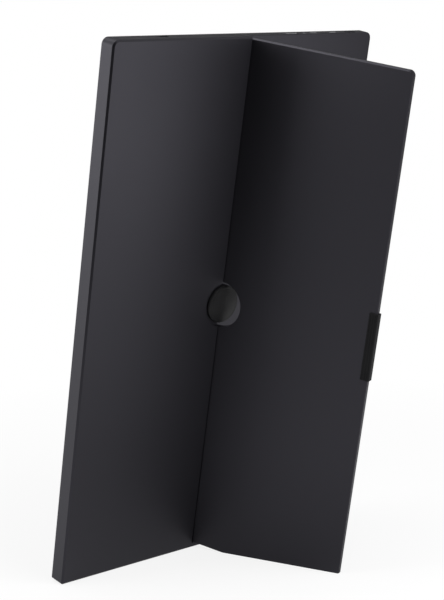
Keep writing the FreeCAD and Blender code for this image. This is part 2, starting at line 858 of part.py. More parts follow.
def flap_ribs():
    """Ribs in columns and rows between the outer skin and the inner plate."""
    first_x = axis_x - leaf_reach - rib_width * 2
    ribs = []
    for x in spread(first_x, flap_tip_x + flap_reach / (rib_columns + 1), rib_columns):
        ribs.append(block((x - rib_width / 2, x + rib_width / 2), (flap_plate_y, flap_skin_y),
                          (0, body_height)))
    row_step = (flap_top - flap_bottom) / (rib_rows + 1)
    for row in range(rib_rows):
        z = flap_bottom + row_step * (row + 1)
        ribs.append(block((flap_tip_x, first_x), (flap_plate_y, flap_skin_y),
                          (z - rib_width / 2, z + rib_width / 2)))
    return joined(ribs)


def flap_panel():
    shell = joined([flap_space(0, 0, flap_inner_y, flap_outer_y),
                    rod(axis_x, axis_y, flap_radius, flap_bottom, flap_top)])
    corner_sag = 0.3 * flap_corner_radius
    rim_edges = edges_where(
        shell, lambda p: (flat_at(p, flap_outer_y) or flat_at(p, flap_inner_y))
        and (p.x < flap_tip_x + corner_sag or p.z > flap_top - corner_sag))
    shell = shell.makeChamfer(flap_edge_break, rim_edges)
    shell = shell.cut(disc(foot_x, middle_z, notch_radius, flap_inner_y, flap_outer_y))
    cavity = flap_space(flap_rim, hinge_rim, flap_inner_y, flap_skin_y)
    cuts = [cavity]
    for height in hinge_heights.values():
        reach = hinge_length / 2 + knuckle_gap
        z_range = (height - reach, height + reach)
        cuts.append(rod(axis_x, axis_y, knuckle_radius + knuckle_clearance, *z_range))
        cuts.append(block((axis_x - hinge_rim, axis_x), (flap_inner_y, flap_skin_y), z_range))
        cuts.append(block((axis_x, axis_x + flap_radius),
                          (flap_inner_y, axis_y + lug_web / 2 + knuckle_clearance), z_range))
        for z in bracket_screw_heights(height):
            cuts.append(peg_hole(leaf_screw_x, z, screw_radius + press_clearance,
                                 flap_skin_y, flap_outer_y - screw_skin))
    shell = shell.cut(group(cuts))
    ribs = flap_ribs().common(flap_space(flap_rim, hinge_rim, flap_plate_y, flap_skin_y))
    return joined([shell, ribs])


def flap_plate():
    inset = flap_rim + flap_plate_clearance
    return flap_space(inset, hinge_rim + flap_plate_clearance, flap_inner_y, flap_plate_y)


# Rubber feet

def centre_foot():
    """Low dome on a round rim, turned about a point on the hinge line, with a spigot in the cover."""
    seat_y = -foot_seat_depth
    crown = foot_radius - foot_edge_break
    rise = foot_height - foot_rim_height
    dome_radius = (crown * crown + rise * rise) / (2 * rise)
    outline = [(0, seat_y - spigot_length), (spigot_radius, seat_y - spigot_length),
               (spigot_radius, seat_y), (foot_radius, seat_y),
               (foot_radius, foot_rim_height - foot_edge_break)]
    for band in range(foot_bands + 1):
        radius = crown * (1 - band / foot_bands)
        drop = dome_radius - math.sqrt(dome_radius * dome_radius - radius * radius)
        outline.append((radius, foot_height - drop))
    points = [Vector(foot_x + radius, y, middle_z) for radius, y in outline]
    face = Part.Face(Part.makePolygon(points + points[:1]))
    return face.revolve(Vector(foot_x, 0, middle_z), Vector(0, 1, 0), 360)


def edge_foot():
    """Strip that wraps the middle of the flap's free edge."""
    low = middle_z - strip_length / 2
    high = middle_z + strip_length / 2
    edge_x = flap_tip_x - strip_beyond
    face_y = flap_outer_y + strip_proud
    section = [(edge_x, flap_inner_y, strip_radius), (flap_tip_x, flap_inner_y, 0),
               (flap_tip_x, flap_outer_y, 0), (flap_tip_x + strip_cover, flap_outer_y, 0),
               (flap_tip_x + strip_cover, face_y, strip_radius), (edge_x, face_y, strip_radius)]
    return bar(section, low, high)


# Assembly: open the flap about its pin, lean the whole back on the flap, centre it over its footprint

body_pieces = {
    "rear_cover": rear_cover(),
    "front_bezel": front_bezel(),
    "panel_tape": panel_tape(),
    "display_glass": panel_slab(0, glass_y, sheet_y),
    "diffuser_sheets": panel_slab(tray_lip + tray_clearance, sheet_y, guide_y),
    "light_guide": panel_slab(tray_lip + tray_clearance, guide_y, tray_y, led_strip_width + tray_clearance),
    "led_strip": led_strip(),
    "panel_tray": panel_tray(),
    "panel_driver_board": driver_board(),
    "panel_cable": panel_cable(),
    "insulator_sheet": insulator_sheet(),
    "main_board": main_board(),
    "board_chips": board_chips(),
    "shield_can": shield_can(),
    "usb_c_shell": usb_shell(),
    "usb_c_tongue": usb_tongue(),
    "tact_switches": tact_switches(),
    "light_pipe": light_pipe(),
    "lock_plate": lock_plate(),
    "centre_foot": centre_foot(),
    "cover_screws": cover_screws(),
    "board_screws": board_screws(),
    "bracket_screws": bracket_screws(),
}
flap_pieces = {
    "flap_panel": flap_panel(),
    "flap_plate": flap_plate(),
    "edge_foot": edge_foot(),
    "leaf_screws": leaf_screws(),
}
for name, height in hinge_heights.items():
    body_pieces[name + "_hinge_bracket"] = hinge_bracket(height)
    body_pieces[name + "_friction_clips"] = friction_clips(height)
    flap_pieces[name + "_hinge_leaf"] = hinge_leaf(height)
    flap_pieces[name + "_hinge_pin"] = hinge_pin(height)
button_pieces = {name: push_button(*sizes) for name, sizes in buttons.items()}

hinge_axis_point = Vector(axis_x, axis_y, 0)
for piece in flap_pieces.values():
    piece.rotate(hinge_axis_point, Vector(0, 0, -1), open_angle)
pieces = {**body_pieces, **flap_pieces, **button_pieces}
for piece in pieces.values():
    piece.rotate(Vector(0, 0, 0), Vector(-1, 0, 0), math.degrees(lean_turn))
footprint = group(list(pieces.values())).optimalBoundingBox(False, False)
to_origin = Vector(0, -(footprint.YMin + footprint.YMax) / 2, -back_chamfer * math.sin(lean_turn))

os.makedirs("parts", exist_ok=True)
for name, piece in pieces.items():
    piece.translate(to_origin)
    piece.exportStep(f"parts/{name}.step")
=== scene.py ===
import bmesh
import bpy
import json
import math
from mathutils import Matrix, Quaternion, Vector


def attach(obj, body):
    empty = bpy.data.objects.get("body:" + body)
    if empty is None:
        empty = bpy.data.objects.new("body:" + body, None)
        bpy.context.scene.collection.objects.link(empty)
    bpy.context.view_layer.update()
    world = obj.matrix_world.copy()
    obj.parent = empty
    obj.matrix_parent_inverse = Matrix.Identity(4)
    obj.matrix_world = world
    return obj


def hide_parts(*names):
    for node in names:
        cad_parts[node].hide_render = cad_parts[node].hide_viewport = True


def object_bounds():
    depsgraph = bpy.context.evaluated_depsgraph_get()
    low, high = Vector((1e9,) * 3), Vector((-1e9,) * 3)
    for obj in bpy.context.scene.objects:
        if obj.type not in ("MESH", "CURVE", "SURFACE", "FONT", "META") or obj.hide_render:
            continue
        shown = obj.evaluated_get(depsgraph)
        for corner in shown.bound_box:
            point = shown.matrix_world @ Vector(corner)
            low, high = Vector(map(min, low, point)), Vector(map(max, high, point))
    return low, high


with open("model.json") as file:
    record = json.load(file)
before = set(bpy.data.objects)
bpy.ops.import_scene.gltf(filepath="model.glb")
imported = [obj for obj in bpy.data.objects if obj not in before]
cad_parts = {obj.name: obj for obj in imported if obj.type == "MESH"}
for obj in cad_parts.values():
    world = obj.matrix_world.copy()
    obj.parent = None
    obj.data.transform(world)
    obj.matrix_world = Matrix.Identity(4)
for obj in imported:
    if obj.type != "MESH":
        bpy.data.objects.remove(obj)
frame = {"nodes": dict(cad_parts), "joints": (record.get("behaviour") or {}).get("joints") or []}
cad_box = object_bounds()

# Rear cover: the moulded tub that carries everything, in charcoal ABS with a fine spark-eroded grain.
# It is one injection moulding, with a raised half, a sunken pocket for the flap and a broken edge
# all round its back.
MM = 0.001
hinge = next(joint for joint in frame["joints"] if joint["name"] == "flap_hinge")
hinge_axis = Vector(hinge["axis"]).normalized()
across = Vector((1, 0, 0))
body_up = -hinge_axis
body_out = body_up.cross(across)
body_axes = (across, body_out, body_up)


class Shade:
    """A socket of a material, whose operators add Math nodes."""

    def __init__(self, tree, socket):
        self.tree = tree
        self.socket = socket

    def node(self, kind, settings, inputs, output=0):
        """Adds a node: its settings first, then the values or links of its sockets."""
        made = self.tree.nodes.new(kind)
        for name, value in settings.items():
            setattr(made, name, value)
        for name, value in inputs.items():
            if isinstance(value, Shade):
                self.tree.links.new(value.socket, made.inputs[name])
            else:
                made.inputs[name].default_value = value
        return Shade(self.tree, made.outputs[output])

    def maths(self, operation, first, second=0.0):
        return self.node("ShaderNodeMath", {"operation": operation}, {0: first, 1: second})

    def __add__(self, other):
        return self.maths("ADD", self, other)

    def __sub__(self, other):
        return self.maths("SUBTRACT", self, other)

    def __mul__(self, other):
        return self.maths("MULTIPLY", self, other)

    def __truediv__(self, other):
        return self.maths("DIVIDE", self, other)

    def __rsub__(self, other):
        return self.maths("SUBTRACT", other, self)

    def __gt__(self, other):
        return self.maths("GREATER_THAN", self, other)

    def __abs__(self):
        return self.maths("ABSOLUTE", self)

    __radd__ = __add__
    __rmul__ = __mul__


def new_finish(name, **constants):
    """A material, its shader with constants such as Coat_Roughness, and the place on it in metres."""
    material = bpy.data.materials.new(name)
    material.use_nodes = True
    tree = material.node_tree
    shader = tree.nodes["Principled BSDF"]
    for socket, value in constants.items():
        shader.inputs[socket.replace("_", " ")].default_value = value
    return material, shader, Shade(tree, tree.nodes.new("ShaderNodeTexCoord").outputs["Object"])


def noise(place, size, detail=2.0):
    """Cloudy pattern from 0 to 1 whose patches are about one size across, in metres."""
    return place.node("ShaderNodeTexNoise", {}, {"Vector": place, "Scale": 1 / size, "Detail": detail})


def blend(place, share, first, second):
    """Colour between two colours."""
    mix = {"data_type": "RGBA", "clamp_factor": True}
    return place.node("ShaderNodeMix", mix, {0: share, 6: (*first, 1), 7: (*second, 1)}, 2)


def shaded(colour, share):
    """A share of a colour, darker below 1 and lighter above."""
    return [share * part for part in colour]


def link(shader, **sockets):
    """Joins sockets such as Base_Color of a shader to what changes over the surface."""
    for name, value in sockets.items():
        value.tree.links.new(value.socket, shader.inputs[name.replace("_", " ")])


def bump(place, height, depth):
    """Surface relief from a height that goes from 0 to 1, of a depth in metres."""
    return place.node("ShaderNodeBump", {}, {"Strength": 1.0, "Distance": depth, "Height": height})


def grained_plastic(name, colour, roughness, grain=0.35 * MM, depth=0.006 * MM, **constants):
    """Moulded plastic: fine eroded grain, with faint clouds of tone and gloss left by handling."""
    material, shader, place = new_finish(name, **constants)
    cloud_size = 60 * MM
    tone_swing = 0.18
    cloud = noise(place, cloud_size, 3.0)
    speck = noise(place, grain, 1.0)
    dark = shaded(colour, 1 - tone_swing)
    light = shaded(colour, 1 + tone_swing)
    tone = blend(place, 0.5 * cloud + 0.5 * speck, dark, light)
    link(shader, Base_Color=tone, Roughness=(roughness - 0.05) + 0.06 * cloud + 0.04 * speck,
         Normal=bump(place, speck, depth))
    return material


def dress(material, *nodes):
    """Gives CAD nodes their finish."""
    for node in nodes:
        frame["nodes"][node].data.materials.clear()
        frame["nodes"][node].data.materials.append(material)


charcoal = (0.0055, 0.0053, 0.0064)
cool_gloss = (0.87, 0.845, 1.0, 1)
cover_plastic = grained_plastic("charcoal_grained_plastic", charcoal, 0.45,
                                Specular_IOR_Level=0.5, Specular_Tint=cool_gloss)
dress(cover_plastic, "rear_cover")

# Lock plate: a pressed steel plate behind the lock slot, so that a lock's bar has metal to hold.
# It lies against the inside of the top wall, and shows only as a dull edge inside the slot.


def worked_metal(name, colour, roughness, along, streak=0.4 * MM, depth=0.003 * MM):
    """Rolled or drawn metal: fine streaks along one direction, with faint patches of tarnish."""
    material, shader, place = new_finish(name, Metallic=1.0)
    stretch = 0.96
    tarnish_size = 9 * MM
    squeeze = Vector((1, 1, 1)) - stretch * Vector([abs(part) for part in along])
    drawn = place.node("ShaderNodeVectorMath", {"operation": "MULTIPLY"}, {0: place, 1: squeeze})
    streaks = noise(drawn, streak, 2.0)
    tarnish = noise(place, tarnish_size, 3.0)
    link(shader, Base_Color=blend(place, tarnish, shaded(colour, 0.8), colour),
         Roughness=(roughness - 0.08) + 0.16 * streaks + 0.05 * tarnish,
         Normal=bump(place, streaks, depth))
    return material


dress(worked_metal("lock_plate_steel", (0.36, 0.36, 0.37), 0.42, across), "lock_plate")

# Display panel: a folded aluminium tray, an edge-lit light guide with its LED strip, diffuser films
# and the glass, held to the front frame by a ring of foam tape. Its driver board lies on the tray's
# back, and an amber film cable joins it to the main board.


def span(node, direction):
    """Lowest and highest reach of a CAD node along a direction."""
    reach = [vertex.co.dot(direction) for vertex in frame["nodes"][node].data.vertices]
    return min(reach), max(reach)


def reading(place, direction):
    """How far a place lies along a direction, in metres."""
    return place.node("ShaderNodeVectorMath", {"operation": "DOT_PRODUCT"}, {0: place, 1: direction}, 1)


def past_edge(place, directions, spans, border):
    """How far a place lies outside a rectangle that is a border smaller than a node's spans."""
    found = None
    for direction, (low, high) in zip(directions, spans):
        past = abs(reading(place, direction) - (low + high) / 2) - ((high - low) / 2 - border)
        found = past if found is None else found.maths("MAXIMUM", found, past)
    return found


def display_finish():
    """Anti-glare glass that is switched off: a blue-black picture area inside a black border."""
    material, shader, place = new_finish("anti_glare_display", Specular_IOR_Level=0.45)
    seen_border = 4.2 * MM
    sparkle_size = 0.14 * MM
    smear_size = 45 * MM
    sides = (across, body_up)
    border = past_edge(place, sides, [span("display_glass", side) for side in sides], seen_border) > 0
    sparkle = noise(place, sparkle_size, 1.0)
    smear = noise(place, smear_size, 3.0)
    link(shader, Base_Color=blend(place, border, (0.0085, 0.0092, 0.0118), (0.0022, 0.0022, 0.0024)),
         Roughness=0.25 + 0.06 * sparkle + 0.05 * smear - 0.07 * border,
         Normal=bump(place, sparkle, 0.002 * MM))
    return material


def film(name, colour, roughness, dot=0.6 * MM, **constants):
    """Plastic film or sheet with a fine pattern of printed dots."""
    material, shader, place = new_finish(name, **constants)
    ripple_size = 30 * MM
    dots = place.node("ShaderNodeTexVoronoi", {}, {"Vector": place, "Scale": 1 / dot})
    ripple = noise(place, ripple_size)
    link(shader, Base_Color=blend(place, dots, colour, shaded(colour, 0.86)),
         Roughness=roughness + 0.08 * ripple + 0.05 * dots, Normal=bump(place, ripple, 0.05 * MM))
    return material


def printed_board(name, mask, trace):
    """Circuit board: solder mask over copper tracks, which show as a lighter tone of the mask."""
    material, shader, place = new_finish(name, Coat_Weight=0.3, Coat_Roughness=0.25)
    weave_size = 0.5 * MM
    patch_size = 6 * MM
    patch_start = 0.52
    track_scale = 0.5 / MM / math.pi
    track_start = 0.55
    weave = noise(place, weave_size, 2.0)
    waves = place.node("ShaderNodeTexWave", {"bands_direction": "DIAGONAL", "wave_profile": "SAW"},
                       {"Vector": place, "Scale": track_scale})
    patches = noise(place, patch_size, 0.0) > patch_start
    tracks = (waves > track_start) * patches
    link(shader, Base_Color=blend(place, tracks, shaded(mask, 0.9), trace),
         Roughness=0.42 + 0.12 * weave - 0.08 * tracks,
         Normal=bump(place, 0.3 * weave + tracks, 0.02 * MM))
    return material


dress(worked_metal("panel_tray_aluminium", (0.62, 0.63, 0.64), 0.38, body_up), "panel_tray")
dress(film("acrylic_light_guide", (0.72, 0.75, 0.77), 0.12, 0.9 * MM, IOR=1.49), "light_guide")
dress(film("milky_diffuser_film", (0.74, 0.74, 0.73), 0.45), "diffuser_sheets")
dress(film("led_strip_white", (0.68, 0.66, 0.52), 0.4, 1.5 * MM), "led_strip")
dress(display_finish(), "display_glass")
dress(grained_plastic("black_foam_tape", (0.012, 0.012, 0.012), 0.75, 0.25 * MM, 0.03 * MM), "panel_tape")
dress(printed_board("driver_board_green", (0.016, 0.07, 0.032), (0.03, 0.12, 0.06)), "panel_driver_board")
dress(film("amber_film_cable", (0.36, 0.14, 0.022), 0.3, 0.7 * MM, Coat_Weight=0.4), "panel_cable")

# Main board: a green circuit board that four screws hold to the tray's back, over a black insulating
# sheet. It carries the chips, one of them under a plated steel can, the switches behind the buttons,
# the milky pipe of the status light and the stainless shell of the port.
dress(film("black_insulator_film", (0.011, 0.011, 0.012), 0.5), "insulator_sheet")
dress(printed_board("main_board_green", (0.012, 0.062, 0.03), (0.024, 0.11, 0.058)), "main_board")
dress(grained_plastic("chip_epoxy", (0.014, 0.014, 0.015), 0.5, 0.12 * MM, 0.01 * MM), "board_chips")
dress(worked_metal("plated_can_steel", (0.58, 0.57, 0.54), 0.3, across), "shield_can")
dress(worked_metal("port_stainless_steel", (0.46, 0.46, 0.47), 0.28, body_up, 0.15 * MM), "usb_c_shell")
dress(grained_plastic("port_tongue_plastic", (0.012, 0.012, 0.013), 0.45, 0.2 * MM), "usb_c_tongue")
dress(grained_plastic("switch_body_plastic", (0.05, 0.05, 0.052), 0.45, 0.2 * MM), "tact_switches")
dress(film("milky_light_pipe", (0.36, 0.38, 0.4), 0.2, 0.3 * MM, Transmission_Weight=0.35, IOR=1.49),
      "light_pipe")

# Port contacts: two rows of gold-plated springs laid in the port's tongue.
# They stop short of the tongue's tip, as they do on every such port.


def placed(node, axes):
    """Middle of a CAD node's box along three directions, as a matrix, and the size of that box."""
    spans = [span(node, axis) for axis in axes]
    middle = sum((axis * (low + high) / 2 for axis, (low, high) in zip(axes, spans)), Vector())
    size = Vector([high - low for low, high in spans])
    return Matrix.Translation(middle) @ Matrix(axes).transposed().to_4x4(), size


weld = 0.0005 * MM


def fit(name, form, place, finish, body, slot, *nodes, crease=35):
    """Turns a mesh drawn in its own axes into a piece at its place, on its body and for its CAD nodes."""
    bmesh.ops.remove_doubles(form, verts=form.verts, dist=weld)
    bmesh.ops.recalc_face_normals(form, faces=form.faces)
    mesh = bpy.data.meshes.new(name)
    form.to_mesh(mesh)
    form.free()
    mesh.shade_smooth()
    mesh.set_sharp_from_angle(angle=math.radians(crease))
    mesh.materials.append(finish)
    made = bpy.data.objects.new(name, mesh)
    made.matrix_world = place
    bpy.context.scene.collection.objects.link(made)
    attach(made, body)
    if nodes:
        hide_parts(*nodes)
    return made


def ring_of(form, points):
    """New points of a mesh, in order."""
    return [form.verts.new(point) for point in points]


def skin(form, rings):
    """Quads between rings of as many points each, with a face over each end."""
    for lower, upper in zip(rings, rings[1:]):
        for index in range(len(lower)):
            after = (index + 1) % len(lower)
            form.faces.new((lower[index], lower[after], upper[after], upper[index]))
    form.faces.new(rings[0])
    form.faces.new(rings[-1])


def rounded_outline(width, height, radius, steps=6):
    """Points round a rectangle with round corners, about its middle."""
    points = []
    for corner, (side, end) in enumerate(((1, 1), (-1, 1), (-1, -1), (1, -1))):
        for step in range(steps + 1):
            turn = math.pi / 2 * (corner + step / steps)
            points.append((side * (width / 2 - radius) + radius * math.cos(turn),
                           end * (height / 2 - radius) + radius * math.sin(turn)))
    return points


def rounded_pad(form, width, depth, length, edge, start=(0, 0, 0), corner=None, steps=4):
    """Bar along its own z with round corners, whose two ends are rounded over by an edge radius."""
    rings = []
    radius = corner or edge
    least_radius = 0.05 * edge
    for end in (-1, 1):
        for step in range(steps + 1):
            turn = math.pi / 2 * (step if end < 0 else steps - step) / steps
            inset = edge * (1 - math.sin(turn))
            z = end * (length / 2 - edge * (1 - math.cos(turn)))
            corner_now = max(radius - inset, least_radius)
            points = rounded_outline(width - 2 * inset, depth - 2 * inset, corner_now)
            rings.append(ring_of(form, [Vector((x, y, z)) + Vector(start) for x, y in points]))
    skin(form, rings)


contact_count = 12
contact_width = 0.25 * MM
contact_height = 0.04 * MM
contact_edge = 0.3 * contact_height
contact_pitch = 0.5 * MM
tip_gap = 0.5 * MM
contact_length = 3.6 * MM
tongue_place, tongue_size = placed("usb_c_tongue", body_axes)
contacts = bmesh.new()
for face in (-1, 1):
    for index in range(contact_count):
        along = (index - (contact_count - 1) / 2) * contact_pitch
        seat = (along, face * tongue_size.y / 2, tongue_size.z / 2 - tip_gap - contact_length / 2)
        rounded_pad(contacts, contact_width, 2 * contact_height, contact_length, contact_edge, seat)
gold = worked_metal("contact_gold", (0.72, 0.5, 0.2), 0.3, body_up, 0.1 * MM)
fit("port_contacts", contacts, tongue_place, gold, "monitor", "plated_steel")

# Push buttons: three caps of satin grey plastic, their grey partly a painted highlight, that stand a
# little out of the top side.
# Each is moulded with a flange that keeps it in, and a stem that meets its switch.
button_flange = 0.6 * MM
flange_thickness = 0.8 * MM
stem_length = 0.6 * MM
stem_width = 2.4 * MM
cap_edge = 0.2 * MM
cap_roundness = 0.49
hidden_edge = 0.1 * MM
# The caps' light grey is partly the plastic's own and partly a painted highlight, so that they read as
# bright dashes along the top side.
button_plastic = grained_plastic("satin_grey_button_caps_painted_highlight", (0.12, 0.12, 0.123), 0.3, 0.2 * MM, 0.003 * MM)
for name in ("power_button", "menu_button", "select_button"):
    button_place, button_size = placed(name, body_axes)
    cap_width = button_size.x - 2 * button_flange
    cap_depth = button_size.y - 2 * button_flange
    cap_length = button_size.z - stem_length
    button = bmesh.new()
    top = button_size.z / 2
    cap_corner = cap_roundness * cap_depth
    cap_middle = top - cap_length / 2
    rounded_pad(button, cap_width, cap_depth, cap_length, cap_edge, (0, 0, cap_middle), cap_corner)
    flange_middle = top - cap_length + flange_thickness / 2
    rounded_pad(button, button_size.x, button_size.y, flange_thickness, hidden_edge, (0, 0, flange_middle))
    stem_middle = stem_length / 2 - top
    rounded_pad(button, stem_width, cap_depth, stem_length, hidden_edge, (0, 0, stem_middle))
    fit(name + "_cap", button, button_place, button_plastic, name, "button_plastic", name)

# Front bezel: the narrow frame round the screen, in the cover's plastic a shade lighter.
# It snaps into the cover along one long side, and screws from the pocket hold the other.
dress(grained_plastic("black_bezel_plastic", (0.009, 0.009, 0.0098), 0.45, Specular_Tint=cool_gloss),
      "front_bezel")

# Screws: black oxide steel with a pan head and a cross recess, driven through the pocket's floor
# into the front frame, and plain ones that hold the board, the hinge brackets and the leaves inside.
screw_steel = worked_metal("black_oxide_screw_steel", (0.12, 0.12, 0.125), 0.36, body_out, 0.2 * MM)
dress(screw_steel, "cover_screws", "board_screws", "bracket_screws", "leaf_screws")

# Centre foot: a round rubber dome pressed by its spigot into the middle of the back.
# It is moulded with a soft shoulder and fine rings, so that it grips when the monitor lies down.


def rubber(name, colour, roughness, sheen=0.1):
    """Soft rubber: a dull, slightly uneven skin with a trace of dust."""
    material, shader, place = new_finish(name, Specular_IOR_Level=sheen)
    speck_size = 0.22 * MM
    dust_size = 7 * MM
    speck = noise(place, speck_size, 2.0)
    dust = noise(place, dust_size, 4.0)
    link(shader, Base_Color=blend(place, dust * speck, colour, shaded(colour, 2.2)),
         Roughness=roughness + 0.1 * speck - 0.08 * dust, Normal=bump(place, speck, 0.012 * MM))
    return material


def turned(form, outline, sides=96):
    """Solid of revolution about its own y: its outline is points of radius and height."""
    rings = []
    turns = [2 * math.pi * index / sides for index in range(sides)]
    for radius, height in outline:
        points = [(radius * math.cos(turn), height, radius * math.sin(turn)) for turn in turns]
        rings.append(ring_of(form, points))
    skin(form, rings)


foot_rubber = rubber("black_foot_rubber", (0.0058, 0.0057, 0.0062), 0.5, 0.18)
foot_place, foot_size = placed("centre_foot", body_axes)
foot_radius = foot_size.x / 2
spigot_radius = 4.0 * MM
spigot_length = 2.0 * MM
dome_rise = 2.5 * MM
shoulder = 1.8 * MM
shoulder_drop = 0.9 * shoulder
foot_edge = 0.2 * MM
ring_pitch = 1.3 * MM
ring_depth = 0.07 * MM
foot_top = foot_size.y / 2
seat_height = spigot_length - foot_top
crown = foot_radius - shoulder
dome_radius = (crown * crown + dome_rise * dome_rise) / (2 * dome_rise)


def dome_height(radius):
    """Height of the dome at a radius, with its fine rings."""
    drop = dome_radius - math.sqrt(dome_radius * dome_radius - radius * radius)
    return foot_top - drop - ring_depth * (0.5 - 0.5 * math.cos(2 * math.pi * radius / ring_pitch))


foot_outline = [(spigot_radius, -foot_top), (spigot_radius, seat_height),
                (foot_radius - foot_edge, seat_height), (foot_radius, seat_height + foot_edge)]
shoulder_steps = 6
shoulder_low = foot_top - dome_rise - shoulder_drop
for step in range(shoulder_steps + 1):
    turn = math.pi / 2 * step / shoulder_steps
    foot_outline.append((foot_radius - shoulder * (1 - math.cos(turn)),
                         shoulder_low + shoulder_drop * math.sin(turn)))
dome_steps = 72
for step in range(1, dome_steps):
    radius = crown * (1 - step / dome_steps)
    foot_outline.append((radius, dome_height(radius)))
dome = bmesh.new()
turned(dome, foot_outline)
fit("centre_foot_dome", dome, foot_place, foot_rubber, "monitor", "foot_rubber", "centre_foot", crease=60)

# Friction hinges: pressed steel brackets in the pocket's floor, spring clips that grip the pins,
# and leaves screwed under the flap's skin. The clips are blued, the rest is plated in dark nickel.
hinge_steel = worked_metal("dark_nickel_hinge_steel", (0.13, 0.128, 0.125), 0.36, body_up)
spring_steel = worked_metal("blued_spring_steel", (0.2, 0.2, 0.23), 0.28, across, 0.3 * MM)
for end in ("upper", "lower"):
    dress(hinge_steel, end + "_hinge_bracket", end + "_hinge_leaf", end + "_hinge_pin")
    dress(spring_steel, end + "_friction_clips")

# Stand flap: a ribbed outer panel closed by an inner plate, both in the cover's plastic.
# It turns on two steel pins along the middle of the back and stands on its slanted lower edge. The
# panel's mould has a tight upper corner, and a wide bevel along the top that catches the light.
dress(grained_plastic("charcoal_plate_plastic", charcoal, 0.44, Specular_Tint=cool_gloss), "flap_plate")
open_turn = Quaternion(hinge_axis, math.radians(-hinge["range_deg"][0]))
flap_axes = tuple(open_turn @ axis for axis in body_axes)
panel_place, panel_size = placed("flap_panel", flap_axes)
wide_corner = 6.0 * MM
tight_corner = 3.6 * MM
edge_break = 0.4 * MM
top_bevel = 1.0 * MM
hair = 0.01 * MM
panel = bmesh.new()
panel_solid = frame["nodes"]["flap_panel"].data
panel_points = ring_of(panel, [vertex.co for vertex in panel_solid.vertices])
for face in panel_solid.polygons:
    panel.faces.new([panel_points[index] for index in face.vertices])
panel.transform(panel_place.inverted())
for vertex in panel.verts:
    from_tip = vertex.co.x + panel_size.x / 2
    from_top = panel_size.z / 2 - vertex.co.z
    from_face = panel_size.y / 2 - vertex.co.y
    if from_top > wide_corner + hair:
        continue
    widened = top_bevel - edge_break
    on_face = from_face < hair and from_top < edge_break + hair
    on_top = abs(from_face - edge_break) < hair and from_top < hair
    if from_tip < wide_corner + hair:
        arm = Vector((wide_corner - from_tip, wide_corner - from_top))
        reach = arm.length - (wide_corner - tight_corner)
        arm.normalize()
        widened *= arm.y
        on_face = from_face < hair and reach > tight_corner - edge_break - hair
        on_top = abs(from_face - edge_break) < hair and reach > tight_corner - hair
        if on_face:
            reach -= widened
        vertex.co.x = tight_corner - arm.x * reach - panel_size.x / 2
        vertex.co.z = panel_size.z / 2 - tight_corner + arm.y * reach
    elif on_face:
        vertex.co.z -= widened
    if on_top:
        vertex.co.y -= widened
panel.transform(panel_place)
fit("flap_shell", panel, Matrix(), cover_plastic, "stand_flap", "flap_plastic", "flap_panel")

# Edge foot: a rubber strip that wraps the flap's free edge, glued on and ribbed along its length.
# Its ends are rounded over, and it stands a millimetre out of the flap's face.
strip_place, strip_size = placed("edge_foot", flap_axes)
strip_middle = strip_place.translation
tip = span("flap_panel", flap_axes[0])[0] - strip_middle.dot(flap_axes[0])
outer = span("flap_panel", flap_axes[1])[1] - strip_middle.dot(flap_axes[1])
strip_reach = strip_size.x / 2
strip_rise = strip_size.y / 2
lip_taper = 0.8 * MM
lip_edge = strip_reach - lip_taper
edge_round = 1.0 * MM
lip_round = 0.5 * MM
rib_count = 3
rib_depth = 0.22 * MM
strip_outline = [(tip, -strip_rise), (tip, outer), (lip_edge, outer)]
lip_steps = 4
for step in range(lip_steps + 1):
    turn = math.pi / 2 * step / lip_steps
    strip_outline.append((lip_edge - lip_round * (1 - math.cos(turn)),
                          strip_rise - lip_round * (1 - math.sin(turn))))
face_steps = 36
face_start = lip_edge - lip_round
face_end = edge_round - strip_reach
for step in range(1, face_steps):
    x = face_start + (face_end - face_start) * step / face_steps
    wave = math.cos(2 * math.pi * rib_count * step / face_steps)
    strip_outline.append((x, strip_rise - rib_depth * max(0.0, -wave) ** 2))
round_steps = 6
outer_round = (edge_round, strip_rise - edge_round, 1)
inner_round = (lip_round, lip_round - strip_rise, 2)
for round_size, height, quarter in (outer_round, inner_round):
    for step in range(round_steps + 1):
        turn = math.pi / 2 * (quarter + step / round_steps)
        strip_outline.append((round_size - strip_reach + round_size * math.cos(turn),
                              height + round_size * math.sin(turn)))
strip = bmesh.new()
end_round = 0.5 * MM
end_steps = 4
strip_rings = []
for end in (-1, 1):
    for step in range(end_steps + 1):
        turn = math.pi / 2 * (step if end < 0 else end_steps - step) / end_steps
        inset = end_round * (1 - math.sin(turn))
        z = end * (strip_size.z / 2 - end_round * (1 - math.cos(turn)))
        drawn_in = [(min(max(x, inset - strip_reach), lip_edge - inset), min(y, strip_rise - inset), z)
                    for x, y in strip_outline]
        strip_rings.append(ring_of(strip, drawn_in))
skin(strip, strip_rings)
strip_rubber = rubber("black_strip_rubber", (0.007, 0.007, 0.0076), 0.55)
fit("edge_foot_strip", strip, strip_place, strip_rubber, "stand_flap", "foot_rubber", "edge_foot")

# Floor: a pale sheet of matt paper under the object, which keeps its shadow.
# It reads as white where nothing shades it, and its reflection darkens towards the object, partly by a
# painted shadow in its colour.
floor_size = 6.0
floor_mesh = bpy.data.meshes.new("floor")
sheet = bmesh.new()
bmesh.ops.create_grid(sheet, x_segments=1, y_segments=1, size=floor_size / 2)
sheet.to_mesh(floor_mesh)
sheet.free()
floor = bpy.data.objects.new("floor", floor_mesh)
bpy.context.scene.collection.objects.link(floor)
floor_paint, floor_shader, floor_place = new_finish("pale_floor", Roughness=0.9, Specular_IOR_Level=0.0)
shadow_reach = 0.6
seen_shadow = 0.2
mirrored_shadow = 0.72
painted_shadow_reach = 0.22
paper_tone = 0.86
painted_shadow_tone = 0.3


def ray_kind(start, *names):
    """1 for rays of the kinds that Light Path names, and 0 for the rest."""
    rays = start.node("ShaderNodeLightPath", {}, {})
    found = None
    for name in names:
        kind = Shade(start.tree, rays.socket.node.outputs[name])
        found = kind if found is None else found.maths("MAXIMUM", found, kind)
    return found


